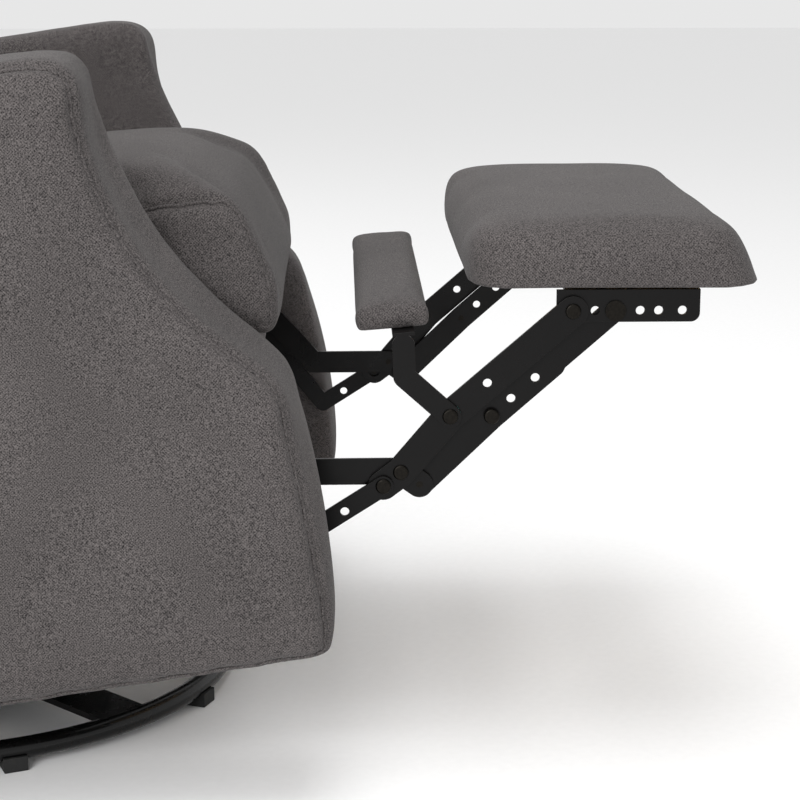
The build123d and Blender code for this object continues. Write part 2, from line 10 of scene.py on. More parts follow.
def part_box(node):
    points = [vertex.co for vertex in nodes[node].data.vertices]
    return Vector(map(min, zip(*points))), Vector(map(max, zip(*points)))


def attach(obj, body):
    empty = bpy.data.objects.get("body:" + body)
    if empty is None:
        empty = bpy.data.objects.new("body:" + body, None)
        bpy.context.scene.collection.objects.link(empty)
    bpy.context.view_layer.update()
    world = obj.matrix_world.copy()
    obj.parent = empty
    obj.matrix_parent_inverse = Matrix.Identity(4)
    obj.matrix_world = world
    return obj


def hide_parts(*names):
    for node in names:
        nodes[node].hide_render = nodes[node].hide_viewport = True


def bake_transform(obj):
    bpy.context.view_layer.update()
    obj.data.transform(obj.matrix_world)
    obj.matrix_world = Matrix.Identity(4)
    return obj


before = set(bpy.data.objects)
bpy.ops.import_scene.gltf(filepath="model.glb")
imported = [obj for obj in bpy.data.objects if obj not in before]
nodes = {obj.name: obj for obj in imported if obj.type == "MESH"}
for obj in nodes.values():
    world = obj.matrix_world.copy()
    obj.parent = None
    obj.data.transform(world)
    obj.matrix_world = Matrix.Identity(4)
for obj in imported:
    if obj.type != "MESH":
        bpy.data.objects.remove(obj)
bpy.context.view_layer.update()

MM = 0.001
PRESSING = 6                # rounds of smoothing that take the small puckers out of a filled case
FILLING_STEPS = 20          # steps of the cloth simulation that fills a case

# ---- how the chair body stands with the footrest out ----
BODY_TILT = radians(8.8)
BACK_RAKE = radians(9)
TILT_PIVOT = (60 * MM, 80 * MM)
RECLINE_PIVOT = (-190 * MM, 322 * MM)

ARM_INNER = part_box("arm_left")[0].y
ARM_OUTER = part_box("arm_left")[1].y
CUSHION_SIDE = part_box("seat_cushion")[1].y


# ------------------------------------------------------------ camera and light
LENS = 92.95                # mm, on a sensor 36 mm wide
CAMERA_PLACE = (0.411, -2.028, 0.741)
CAMERA_DIRECTION = (0.0279, 0.9746, -0.2223)


def aim(thing, start, direction):
    """Sets a camera or lamp at start, looking along direction."""
    thing.location = start
    thing.rotation_mode = "QUATERNION"
    thing.rotation_quaternion = Vector(direction).to_track_quat("-Z", "Y")


def make_camera():
    lens = bpy.data.cameras.new("studio_camera")
    lens.sensor_width = 36
    lens.lens = LENS
    lens.clip_end = 30
    camera = bpy.data.objects.new("studio_camera", lens)
    bpy.context.scene.collection.objects.link(camera)
    aim(camera, CAMERA_PLACE, CAMERA_DIRECTION)
    bpy.context.scene.camera = camera


def softbox(name, start, target, size, power):
    """A square diffused lamp."""
    lamp = bpy.data.lights.new(name, "AREA")
    lamp.shape = "SQUARE"
    lamp.size = size
    lamp.energy = power
    box = bpy.data.objects.new(name, lamp)
    bpy.context.scene.collection.objects.link(box)
    aim(box, start, Vector(target) - Vector(start))


def make_light():
    softbox("side_softbox", (-0.9, -3.2, 1.6), (0.1, 0, 0.4), size=1.6, power=82)
    softbox("top_softbox", (0.3, -0.4, 3.2), (0.3, 0, 0.4), size=1.6, power=34)
    softbox("rear_softbox", (-2.4, 2.2, 2.4), (0, 0, 0.5), size=2.0, power=30)
    world = bpy.data.worlds.new("studio")
    world.use_nodes = True
    sky = world.node_tree.nodes["Background"]
    sky.inputs["Color"].default_value = (1, 1, 1, 1)
    sky.inputs["Strength"].default_value = 0.8
    bpy.context.scene.world = world
    bpy.context.scene.view_settings.view_transform = "Standard"


# ------------------------------------------------------------ materials
def linear(hex_colour):
    """An sRGB hex colour as linear red, green, blue and alpha."""
    parts = [int(hex_colour[i:i + 2], 16) / 255 for i in (1, 3, 5)]
    return (*[p / 12.92 if p <= 0.04045 else ((p + 0.055) / 1.055) ** 2.4 for p in parts], 1)


def add(tree, kind, settings=None, links=None):
    """Adds a node. A setting is one of its own options, or a socket by name or number."""
    made = tree.nodes.new("ShaderNode" + kind)
    for key, value in (settings or {}).items():
        if isinstance(key, str) and hasattr(made, key):
            setattr(made, key, value)
        else:
            made.inputs[key].default_value = value
    for key, source in (links or {}).items():
        tree.links.new(source, made.inputs[key])
    return made


def finish_named(name, settings):
    """A material with its shader's fixed numbers set, and its tree."""
    material = bpy.data.materials.new(name)
    material.use_nodes = True
    shader = material.node_tree.nodes["Principled BSDF"]
    for socket, value in settings.items():
        shader.inputs[socket].default_value = value
    return material, material.node_tree, shader


def woven(name, dark, light, thread, fleck, bump, sheen):
    """Plain-woven cloth. The eye gets over-and-under yarns, a heather of dark and light fibres, and a soft
    edge sheen from the nap. The thread spacing is in millimetres."""
    material, tree, shader = finish_named(name, {
        "Roughness": 0.92, "Specular IOR Level": 0.25, "Sheen Weight": sheen, "Sheen Roughness": 0.55})
    place = add(tree, "TexCoord")
    drift = add(tree, "TexNoise", {"Scale": 1 / (14 * MM), "Detail": 1}, {"Vector": place.outputs["Object"]})
    strayed = add(tree, "VectorMath", {"operation": "MULTIPLY_ADD", 1: (thread * MM,) * 3},
                  {0: drift.outputs["Color"], 2: place.outputs["Object"]})
    turns = add(tree, "VectorMath", {"operation": "SCALE", "Scale": pi / (thread * MM)},
                {0: strayed.outputs["Vector"]})
    wave = add(tree, "VectorMath", {"operation": "SINE"}, {0: turns.outputs["Vector"]})
    split = add(tree, "SeparateXYZ", links={0: wave.outputs["Vector"]})
    crossings = [add(tree, "Math", {"operation": "MULTIPLY"}, {0: split.outputs[a], 1: split.outputs[b]})
                 for a, b in ((1, 2), (2, 0), (0, 1))]
    crossed = add(tree, "CombineXYZ", links={i: c.outputs[0] for i, c in enumerate(crossings)})
    facing = add(tree, "VectorMath", {"operation": "MULTIPLY"},
                 {0: place.outputs["Normal"], 1: place.outputs["Normal"]})
    weave = add(tree, "VectorMath", {"operation": "DOT_PRODUCT"},
                {0: crossed.outputs["Vector"], 1: facing.outputs["Vector"]})
    fibres = add(tree, "TexNoise", {"Scale": 1 / (0.85 * thread * MM), "Detail": 2, "Roughness": 0.7},
                 {"Vector": place.outputs["Object"]})
    relief = add(tree, "Math", {"operation": "MULTIPLY_ADD", 1: 0.07},
                 {0: weave.outputs["Value"], 2: fibres.outputs["Fac"]})
    shade = add(tree, "MapRange", {"From Min": 0.5 - fleck, "From Max": 0.5 + fleck},
                {"Value": relief.outputs[0]})
    worn = add(tree, "TexNoise", {"Scale": 1 / (110 * MM), "Detail": 2}, {"Vector": place.outputs["Object"]})
    tone = add(tree, "MapRange", {"From Min": 0.3, "From Max": 0.7, "To Min": 0.9, "To Max": 1.08},
               {"Value": worn.outputs["Fac"]})
    cloth = add(tree, "Mix", {"data_type": "RGBA", 6: linear(dark), 7: linear(light)},
                {0: shade.outputs["Result"]})
    toned = add(tree, "VectorMath", {"operation": "SCALE"},
                {0: cloth.outputs[2], "Scale": tone.outputs["Result"]})
    raised = add(tree, "Bump", {"Strength": bump, "Distance": 0.35 * MM}, {"Height": relief.outputs[0]})
    tree.links.new(toned.outputs["Vector"], shader.inputs["Base Color"])
    tree.links.new(raised.outputs["Normal"], shader.inputs["Normal"])
    return material


def painted(name, colour, bare, roughness, coat, peel, wear):
    """Steel under baked paint. The eye gets a soft-edged highlight, faint orange peel, uneven gloss, and
    paint rubbed thin along the edges. The peel spacing is in millimetres."""
    material, tree, shader = finish_named(name, {
        "Coat Weight": coat, "Coat Roughness": 0.12, "Specular IOR Level": 0.16})
    place = add(tree, "TexCoord")
    flow = add(tree, "TexNoise", {"Scale": 1 / (peel * MM), "Detail": 2}, {"Vector": place.outputs["Object"]})
    haze = add(tree, "TexNoise", {"Scale": 1 / (45 * MM), "Detail": 4, "Roughness": 0.65},
               {"Vector": place.outputs["Object"]})
    gloss = add(tree, "MapRange", {"From Min": 0.3, "From Max": 0.7, "To Min": roughness - 0.06,
                                   "To Max": roughness + 0.1}, {"Value": haze.outputs["Fac"]})
    edge = add(tree, "Bevel", {"samples": 4, "Radius": 0.9 * MM})
    flat = add(tree, "NewGeometry")
    turn = add(tree, "VectorMath", {"operation": "DOT_PRODUCT"},
               {0: edge.outputs["Normal"], 1: flat.outputs["True Normal"]})
    rubbed = add(tree, "MapRange", {"From Min": 0.97, "From Max": 0.75, "To Max": wear},
                 {"Value": turn.outputs["Value"]})
    patchy = add(tree, "Math", {"operation": "MULTIPLY"},
                 {0: rubbed.outputs["Result"], 1: haze.outputs["Fac"]})
    skin_colour = add(tree, "Mix", {"data_type": "RGBA", 6: linear(colour), 7: linear(bare)},
                      {0: patchy.outputs[0]})
    peeled = add(tree, "Bump", {"Strength": 0.35, "Distance": 0.05 * MM},
                 {"Height": flow.outputs["Fac"], "Normal": edge.outputs["Normal"]})
    tree.links.new(skin_colour.outputs[2], shader.inputs["Base Color"])
    tree.links.new(gloss.outputs["Result"], shader.inputs["Roughness"])
    tree.links.new(peeled.outputs["Normal"], shader.inputs["Normal"])
    return material


def plated(name, bright, dull, roughness, spangle):
    """Bare or plated metal. The eye gets a metallic shine broken by patches of duller plating and fine
    tumbling marks. The patch size is in millimetres."""
    material, tree, shader = finish_named(name, {"Metallic": 1.0})
    place = add(tree, "TexCoord")
    patches = add(tree, "TexVoronoi", {"Scale": 1 / (spangle * MM)}, {"Vector": place.outputs["Object"]})
    marks = add(tree, "TexNoise", {"Scale": 1 / (0.9 * MM), "Detail": 3}, {"Vector": place.outputs["Object"]})
    blend = add(tree, "Math", {"operation": "MULTIPLY"},
                {0: patches.outputs["Distance"], 1: marks.outputs["Fac"]})
    colour = add(tree, "Mix", {"data_type": "RGBA", 6: linear(bright), 7: linear(dull)},
                 {0: blend.outputs[0]})
    gloss = add(tree, "MapRange", {"From Min": 0.3, "From Max": 0.7, "To Min": roughness - 0.07,
                                   "To Max": roughness + 0.12}, {"Value": marks.outputs["Fac"]})
    edge = add(tree, "Bevel", {"samples": 4, "Radius": 0.5 * MM})
    worked = add(tree, "Bump", {"Strength": 0.25, "Distance": 0.04 * MM},
                 {"Height": marks.outputs["Fac"], "Normal": edge.outputs["Normal"]})
    tree.links.new(colour.outputs[2], shader.inputs["Base Color"])
    tree.links.new(gloss.outputs["Result"], shader.inputs["Roughness"])
    tree.links.new(worked.outputs["Normal"], shader.inputs["Normal"])
    return material


def moulded(name, colour, scuffed, roughness, grain, depth):
    """Moulded rubber or plastic. The eye gets a fine spark-eroded grain and paler scuffs. The grain size is
    in millimetres."""
    material, tree, shader = finish_named(name, {"IOR": 1.5, "Specular IOR Level": 0.45})
    place = add(tree, "TexCoord")
    pits = add(tree, "TexNoise", {"Scale": 1 / (grain * MM), "Detail": 2},
               {"Vector": place.outputs["Object"]})
    scuffs = add(tree, "TexNoise", {"Scale": 1 / (18 * MM), "Detail": 5, "Roughness": 0.7},
                 {"Vector": place.outputs["Object"]})
    share = add(tree, "MapRange", {"From Min": 0.52, "From Max": 0.75, "To Max": 0.5},
                {"Value": scuffs.outputs["Fac"]})
    shade = add(tree, "Mix", {"data_type": "RGBA", 6: linear(colour), 7: linear(scuffed)},
                {0: share.outputs["Result"]})
    gloss = add(tree, "MapRange", {"From Min": 0.3, "From Max": 0.7, "To Min": roughness - 0.08,
                                   "To Max": roughness + 0.1}, {"Value": scuffs.outputs["Fac"]})
    pitted = add(tree, "Bump", {"Strength": 0.4, "Distance": depth * MM}, {"Height": pits.outputs["Fac"]})
    tree.links.new(shade.outputs[2], shader.inputs["Base Color"])
    tree.links.new(gloss.outputs["Result"], shader.inputs["Roughness"])
    tree.links.new(pitted.outputs["Normal"], shader.inputs["Normal"])
    return material


def birch_plywood():
    """Rotary-cut birch, sanded and unfinished. The eye gets long pale figure on the faces and the dark glue
    lines of 1.5 mm plies on the edges."""
    material, tree, shader = finish_named("birch_plywood", {"Specular IOR Level": 0.3})
    place = add(tree, "TexCoord")
    stretched = add(tree, "Mapping", {"Scale": (1 / (5 * MM), 1 / (120 * MM), 1 / (5 * MM))},
                    {"Vector": place.outputs["Object"]})
    figure = add(tree, "TexNoise", {"Scale": 1, "Detail": 5, "Roughness": 0.6, "Distortion": 0.6},
                 {"Vector": stretched.outputs["Vector"]})
    split = add(tree, "SeparateXYZ", links={0: place.outputs["Object"]})
    ply = add(tree, "Math", {"operation": "MULTIPLY", 1: pi / (1.5 * MM)}, {0: split.outputs["Z"]})
    glue = add(tree, "Math", {"operation": "SINE"}, {0: ply.outputs[0]})
    line = add(tree, "MapRange", {"From Min": 0.8, "From Max": 1.0, "To Max": 0.55},
               {"Value": glue.outputs[0]})
    facing = add(tree, "SeparateXYZ", links={0: place.outputs["Normal"]})
    on_face = add(tree, "Math", {"operation": "ABSOLUTE"}, {0: facing.outputs["Z"]})
    on_edge = add(tree, "Math", {"operation": "SUBTRACT", 0: 1.0}, {1: on_face.outputs[0]})
    shown = add(tree, "Math", {"operation": "MULTIPLY"}, {0: line.outputs["Result"], 1: on_edge.outputs[0]})
    wood = add(tree, "Mix", {"data_type": "RGBA", 6: linear("#c9a878"), 7: linear("#a5804f")},
               {0: figure.outputs["Fac"]})
    glued = add(tree, "Mix", {"data_type": "RGBA", 7: linear("#5b3f25")},
                {0: shown.outputs[0], 6: wood.outputs[2]})
    sanded = add(tree, "MapRange", {"To Min": 0.55, "To Max": 0.75}, {"Value": figure.outputs["Fac"]})
    pores = add(tree, "Bump", {"Strength": 0.3, "Distance": 0.15 * MM}, {"Height": figure.outputs["Fac"]})
    tree.links.new(glued.outputs[2], shader.inputs["Base Color"])
    tree.links.new(sanded.outputs["Result"], shader.inputs["Roughness"])
    tree.links.new(pores.outputs["Normal"], shader.inputs["Normal"])
    return material


def studio_floor():
    """Matt painted studio floor. The eye gets an even pale ground with the faintest roller texture."""
    material, tree, shader = finish_named("painted_studio_floor", {
        "Roughness": 0.8, "Specular IOR Level": 0.1})
    place = add(tree, "TexCoord")
    roller = add(tree, "TexNoise", {"Scale": 1 / (9 * MM), "Detail": 2}, {"Vector": place.outputs["Object"]})
    paint = add(tree, "Mix", {"data_type": "RGBA", 6: linear("#f4f4f4"), 7: linear("#fafafa")},
                {0: roller.outputs["Fac"]})
    tree.links.new(paint.outputs[2], shader.inputs["Base Color"])
    return material


# The cover's yarns are about 0.6 mm, too fine to show, so they are drawn at 1.4 mm.
UPHOLSTERY = woven("charcoal_polyester_weave", "#121011", "#635e5d",
                   thread=1.4, fleck=0.18, bump=0.8, sheen=0.05)
LINING = woven("spunbond_dust_cloth", "#141414", "#2b2b2c", thread=1.0, fleck=0.3, bump=0.4, sheen=0.1)
STRAPPING = woven("polypropylene_webbing", "#17171a", "#3d3d42", thread=2.6, fleck=0.3, bump=0.9, sheen=0.15)
RING_PAINT = painted("gloss_enamelled_steel_tube", "#060606", "#3a3734",
                     roughness=0.24, coat=0.25, peel=2.2, wear=0.2)
SHEET_PAINT = painted("electrophoretic_black_steel_sheet", "#070606", "#45413e",
                      roughness=0.30, coat=0.0, peel=1.4, wear=0.35)
ZINC = plated("zinc_plated_steel", "#cfd0cc", "#8f918f", roughness=0.32, spangle=3.5)
BLACK_OXIDE = plated("black_oxide_rivet_steel", "#24221f", "#100f0f", roughness=0.36, spangle=2.0)
RUBBER = moulded("moulded_nitrile_rubber", "#131313", "#3a3835", roughness=0.75, grain=0.8, depth=0.08)
NYLON = moulded("moulded_teal_nylon", "#2f8f86", "#7fbdb6", roughness=0.38, grain=0.6, depth=0.03)
ABS = moulded("moulded_black_abs", "#161616", "#3d3c3b", roughness=0.42, grain=0.7, depth=0.05)
BIRCH = birch_plywood()

FINISHES = {
    "black_steel": SHEET_PAINT, "zinc_steel": ZINC, "rivet_steel": BLACK_OXIDE, "rubber": RUBBER,
    "nylon": NYLON, "wood": BIRCH, "charcoal_fabric": UPHOLSTERY, "webbing": STRAPPING, "black_plastic": ABS,
}


def coat(thing, material):
    thing.data.materials.clear()
    thing.data.materials.append(material)


def finish_hardware():
    """Gives every CAD node the finish of its slot; the ring and its cross bars alone are gloss enamelled."""
    for node, thing in nodes.items():
        for held in thing.material_slots:
            held.material = FINISHES[held.material.name.split(".")[0]]
    for node in ("ring_base", "cross_bars"):
        nodes[node].material_slots[0].material = RING_PAINT


# ------------------------------------------------------------ placing and meshing
def turned(x, z, angle):
    """A point turned about the origin, seen from the right side."""
    return cos(angle) * x - sin(angle) * z, sin(angle) * x + cos(angle) * z


def tipped(x, y, z):
    """Where a point of the level chair body stands."""
    dx, dz = turned(x - TILT_PIVOT[0], z - TILT_PIVOT[1], BODY_TILT)
    return Vector((TILT_PIVOT[0] + dx, y, TILT_PIVOT[1] + dz))


def leaned(x, y, z):
    """Where a point of the upright back, measured from its pivot, stands."""
    dx, dz = turned(x, z, BACK_RAKE)
    return tipped(RECLINE_PIVOT[0] + dx, y, RECLINE_PIVOT[1] + dz)


def read(mesh, what="co"):
    """Points or normals of a mesh as rows of numbers."""
    rows = np.empty(len(mesh.vertices) * 3, np.float32)
    mesh.vertices.foreach_get(what, rows)
    return rows.reshape(-1, 3).astype(float)


def write(mesh, rows):
    mesh.vertices.foreach_set("co", rows.astype(np.float32).ravel())
    mesh.update()


def shown(name, mesh):
    piece = bpy.data.objects.new(name, mesh)
    bpy.context.scene.collection.objects.link(piece)
    return piece


def settle(piece):
    """Makes the mesh what its modifiers show, and takes them off."""
    graph = bpy.context.evaluated_depsgraph_get()
    made = bpy.data.meshes.new_from_object(piece.evaluated_get(graph))
    piece.modifiers.clear()
    piece.data = made


def keep_largest(mesh):
    """Drops inner skins and crumbs, so that one closed skin is left."""
    work = bmesh.new()
    work.from_mesh(mesh)
    left = set(work.verts)
    islands = []
    while left:
        seed = left.pop()
        island, to_visit = {seed}, [seed]
        while to_visit:
            for edge in to_visit.pop().link_edges:
                for vertex in edge.verts:
                    if vertex in left:
                        left.discard(vertex)
                        island.add(vertex)
                        to_visit.append(vertex)
        islands.append(island)
    largest = max(islands, key=len)
    bmesh.ops.delete(work, geom=[v for v in work.verts if v not in largest], context="VERTS")
    work.to_mesh(mesh)
    work.free()


def skin(name, meshes, voxel):
    """One evenly meshed skin round some solids, such as a pad and the board inside it. The voxel is in
    millimetres."""
    work = bmesh.new()
    for mesh in meshes:
        work.from_mesh(mesh)
    joined = bpy.data.meshes.new(name)
    work.to_mesh(joined)
    work.free()
    piece = shown(name, joined)
    even = piece.modifiers.new("even", "REMESH")
    even.mode = "VOXEL"
    even.voxel_size = voxel * MM
    settle(piece)
    keep_largest(piece.data)
    return piece


def relax(mesh, rounds, freedom):
    """Moves points towards their neighbours, which rounds the edges; freedom is how far each one goes."""
    points = read(mesh)
    ends = np.empty(len(mesh.edges) * 2, np.int32)
    mesh.edges.foreach_get("vertices", ends)
    a, b = ends.reshape(-1, 2).T
    count = np.bincount(ends, minlength=len(points))
    for _ in range(rounds):
        for axis in range(3):
            values = points[:, axis]
            total = np.bincount(a, values[b], len(points)) + np.bincount(b, values[a], len(points))
            points[:, axis] += freedom * (total / count - values)
    write(mesh, points)


def plump(piece, pressure, cap, held):
    """Fills a sewn case: pressure swells the cloth, held points stay fixed to the wood behind them, and no
    point moves more than the cap in millimetres."""
    start = read(piece.data)
    group = piece.vertex_groups.new(name="held")
    group.add(np.nonzero(held)[0].tolist(), 1.0, "ADD")
    cloth = piece.modifiers.new("filling", "CLOTH")
    cloth.settings.use_pressure = True
    cloth.settings.uniform_pressure_force = pressure
    cloth.settings.vertex_group_mass = "held"
    cloth.settings.effector_weights.gravity = 0
    cloth.point_cache.frame_start = 1
    cloth.point_cache.frame_end = FILLING_STEPS
    for step in range(1, FILLING_STEPS + 1):
        bpy.context.scene.frame_set(step)
    graph = bpy.context.evaluated_depsgraph_get()
    move = read(piece.evaluated_get(graph).data) - start
    far = np.maximum(np.linalg.norm(move, axis=1, keepdims=True), 1e-9)
    move *= cap * MM * np.tanh(far / (cap * MM)) / far
    piece.modifiers.clear()
    piece.vertex_groups.clear()
    write(piece.data, start + move)
    bpy.context.scene.frame_set(1)
    relax(piece.data, PRESSING, np.where(held, 0, 0.5))


def soften(piece, height, size, seed):
    """The small hollows and swells of padding under a cover. Height and size are in millimetres."""
    points, normals = read(piece.data), read(piece.data, "normal")
    offset = Vector((seed, 0, 0))
    swell = [noise.noise(Vector(p) / (size * MM) + offset) for p in points]
    write(piece.data, points + normals * np.array(swell)[:, None] * height * MM)


def subdivide(piece):
    smooth = piece.modifiers.new("smooth", "SUBSURF")
    smooth.levels = smooth.render_levels = 1
    settle(piece)
    piece.data.shade_smooth()


def mirrored(piece, name):
    twin = shown(name, piece.data.copy())
    write(twin.data, read(twin.data) * (1, -1, 1))
    twin.data.flip_normals()
    return twin


def outline_of(mesh, side, centre):
    """The corner points of a solid's flat side at y = side, in order round a centre (x, z)."""
    points = read(mesh)
    rim = points[abs(points[:, 1] - side) < 0.1 * MM]
    turn = np.arctan2(rim[:, 2] - centre[1], rim[:, 0] - centre[0])
    kept = np.unique(np.round(turn, 3), return_index=True)[1]
    return rim[kept]


def arched(half, low, high, corner):
    """The outline (y, z) of a piece with rounded top corners, from its left foot round to its right."""
    rise = [(half, low)] + [
        (half - corner + corner * cos(t), high - corner + corner * sin(t)) for t in np.linspace(0, pi / 2, 9)]
    return rise + [(-y, z) for y, z in reversed(rise)]


def spaced(path, gap, closed):
    """A path as evenly spaced points, gap millimetres apart."""
    if closed:
        path = np.vstack([path, path[:1]])
    run = np.concatenate([[0], np.cumsum(np.linalg.norm(np.diff(path, axis=0), axis=1))])
    at = np.linspace(0, run[-1], max(8, int(run[-1] / (gap * MM))), endpoint=not closed)
    return np.stack([np.interp(at, run, path[:, i]) for i in range(3)], 1)


def tree_of(piece):
    mesh = piece.data
    return BVHTree.FromPolygons([v.co for v in mesh.vertices], [p.vertices for p in mesh.polygons])


def laid_on(piece, path):
    """A path brought onto a piece's skin, and the skin's normals there."""
    tree = tree_of(piece)
    hits = [tree.find_nearest(Vector(p)) for p in path]
    return np.array([h[0] for h in hits]), np.array([h[1] for h in hits])


def pull_in(piece, path, depth, width):
    """Draws the skin in along a seam, by depth millimetres and over width millimetres on each side."""
    near = kdtree.KDTree(len(path))
    for i, point in enumerate(path):
        near.insert(point, i)
    near.balance()
    points, normals = read(piece.data), read(piece.data, "normal")
    away = np.array([near.find(p)[2] for p in points])
    sunk = depth * MM * np.exp(-(away / (width * MM)) ** 2)
    write(piece.data, points - normals * sunk[:, None])


def seam(name, piece, body, path, radius, closed, depth=2.2, width=5):
    """A sewn seam: the skin is drawn in along it, and its rolled edge lies in the groove."""
    line, _ = laid_on(piece, path)
    pull_in(piece, line, depth, width)
    line, normals = laid_on(piece, line)
    cord = bpy.data.curves.new(name, "CURVE")
    cord.dimensions = "3D"
    cord.bevel_depth = radius * MM
    cord.bevel_resolution = 2
    run = cord.splines.new("NURBS")
    run.points.add(len(line) - 1)
    run.points.foreach_set("co", np.hstack([line + normals * 0.2 * MM, np.ones((len(line), 1))]).ravel())
    run.order_u = 3
    run.use_cyclic_u = closed
    run.use_endpoint_u = not closed
    sewn = shown(name, cord)
    coat(sewn, UPHOLSTERY)
    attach(sewn, body)


def upholster(piece, body, fill, *replaced):
    coat(piece, UPHOLSTERY)
    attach(piece, body)
    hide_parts(*replaced)


# ------------------------------------------------------------ arms
def level_normals(mesh):
    """Normals as they are on the level chair body."""
    normals = read(mesh, "normal")
    x, z = turned(normals[:, 0], normals[:, 2], -BODY_TILT)
    return np.stack([x, normals[:, 1], z], 1)


def make_arms():
    """The arm covers. The hem is smoothed least and the top band most, so that it rolls over the padding."""
    hem_band, top_band = 0.12, 0.09
    left = skin("arm_cover_left", [nodes["arm_left"].data, nodes["arm_frames"].data], voxel=7)
    normals = level_normals(left.data)
    points = read(left.data)
    underside = normals[:, 2] < -0.7
    near_floor = np.clip((points[:, 2] - points[:, 2].min()) / hem_band, 0.25, 1)
    relax(left.data, rounds=6, freedom=0.5 * near_floor)
    near_top = np.clip((points[:, 2] - points[:, 2].max()) / top_band + 1, 0, 1)
    relax(left.data, rounds=18, freedom=0.5 * near_top)
    inner = points[:, 1] < ARM_INNER + 4 * MM
    plump(left, pressure=3, cap=7, held=inner | underside)
    soften(left, height=1.6, size=130, seed=3)
    subdivide(left)
    right = mirrored(left, "arm_cover_right")
    rim = outline_of(nodes["arm_left"].data, ARM_OUTER, (-0.02, 0.30))
    upholster(left, "chair_body", 0.8, "arm_left", "arm_frames")
    upholster(right, "chair_body", 0.8, "arm_right")
    front = rim_run(rim)
    for side, piece in ((1, left), (-1, right)):
        path = front * (1, side, 1)
        seam("arm_seam_" + piece.name.split("_")[-1], piece, "chair_body", path, radius=1.6, closed=False,
             depth=5, width=7)


def rim_run(rim):
    """The arm's side seam: up the front, over the top and down the back, 3 mm in from the outer face."""
    start = np.argmin(rim[:, 2] - rim[:, 0])
    run = np.roll(rim, -start, axis=0)
    path = spaced(run, gap=6, closed=False)
    path[:, 1] -= 3 * MM
    return path


# ------------------------------------------------------------ seat and back
def make_seat():
    seat = skin("seat_cushion_cover", [nodes["seat_cushion"].data], voxel=7)
    normals = level_normals(seat.data)
    held = normals[:, 2] < -0.6
    relax(seat.data, rounds=12, freedom=np.full(len(normals), 0.5))
    plump(seat, pressure=5, cap=24, held=held)
    points = read(seat.data)
    points[:, 1] = np.clip(points[:, 1], -(ARM_INNER - 1 * MM), ARM_INNER - 1 * MM)
    write(seat.data, points)
    subdivide(seat)
    upholster(seat, "chair_body", 0.85, "seat_cushion")
    rim = outline_of(nodes["seat_cushion"].data, CUSHION_SIDE, (0.1, 0.44))
    for side, end in ((1, "left"), (-1, "right")):
        path = spaced(rim * (1, side, 1), gap=6, closed=True)
        seam("seat_seam_" + end, seat, "chair_body", path, radius=1.5, closed=True, depth=4.5, width=7)


def make_back():
    cushion = skin("back_cushion_cover", [nodes["back_cushion"].data], voxel=8)
    normals = read(cushion.data, "normal")
    rear = np.array(leaned(-1, 0, 0) - leaned(0, 0, 0))
    held = normals @ rear > 0.7
    relax(cushion.data, rounds=4, freedom=np.full(len(normals), 0.5))
    plump(cushion, pressure=4, cap=22, held=held)
    points = read(cushion.data)
    points[:, 1] = np.clip(points[:, 1], -(ARM_INNER - 2 * MM), ARM_INNER - 2 * MM)
    write(cushion.data, points)
    subdivide(cushion)
    upholster(cushion, "back", 0.75, "back_cushion")
    loop = arched(half=236 * MM, low=34 * MM, high=690 * MM, corner=52 * MM)
    path = spaced(np.array([leaned(52 * MM, y, z) for y, z in loop]), gap=7, closed=True)
    seam("back_front_seam", cushion, "back", path, radius=1.2, closed=True, depth=3)


def board(name, low_x, high_x, half, low, high, corner):
    """A board across the upright back, with rounded top corners, in metres."""
    loop = arched(half, low, high, corner)
    work = bmesh.new()
    rear = [work.verts.new(leaned(low_x, y, z)) for y, z in loop]
    front = [work.verts.new(leaned(high_x, y, z)) for y, z in loop]
    work.faces.new(rear)
    work.faces.new(front[::-1])
    for i in range(len(loop)):
        work.faces.new((rear[i - 1], rear[i], front[i], front[i - 1]))
    bmesh.ops.recalc_face_normals(work, faces=work.faces)
    mesh = bpy.data.meshes.new(name)
    work.to_mesh(mesh)
    work.free()
    return mesh


def make_back_cover():
    solid = board("outside_back", low_x=-92 * MM, high_x=-33 * MM, half=249.6 * MM,
                  low=17 * MM, high=701 * MM, corner=60 * MM)
    cover = skin("outside_back_cover", [solid], voxel=8)
    relax(cover.data, rounds=5, freedom=np.full(len(cover.data.vertices), 0.5))
    normals = read(cover.data, "normal")
    rear = np.array(leaned(-1, 0, 0) - leaned(0, 0, 0))
    plump(cover, pressure=2, cap=5, held=normals @ rear < 0.3)
    subdivide(cover)
    upholster(cover, "back", 0.9, "back_panel")
    loop = arched(half=246 * MM, low=24 * MM, high=698 * MM, corner=58 * MM)
    path = spaced(np.array([leaned(-92 * MM, y, z) for y, z in loop]), gap=7, closed=False)
    seam("outside_back_seam", cover, "back", path, radius=1.1, closed=False)


def make_rear_panel():
    panel = skin("rear_panel_cover", [nodes["rear_panel"].data], voxel=4)
    relax(panel.data, rounds=4, freedom=np.full(len(panel.data.vertices), 0.5))
    normals = level_normals(panel.data)
    plump(panel, pressure=2, cap=3, held=normals[:, 0] > -0.3)
    subdivide(panel)
    upholster(panel, "chair_body", 0.9, "rear_panel")


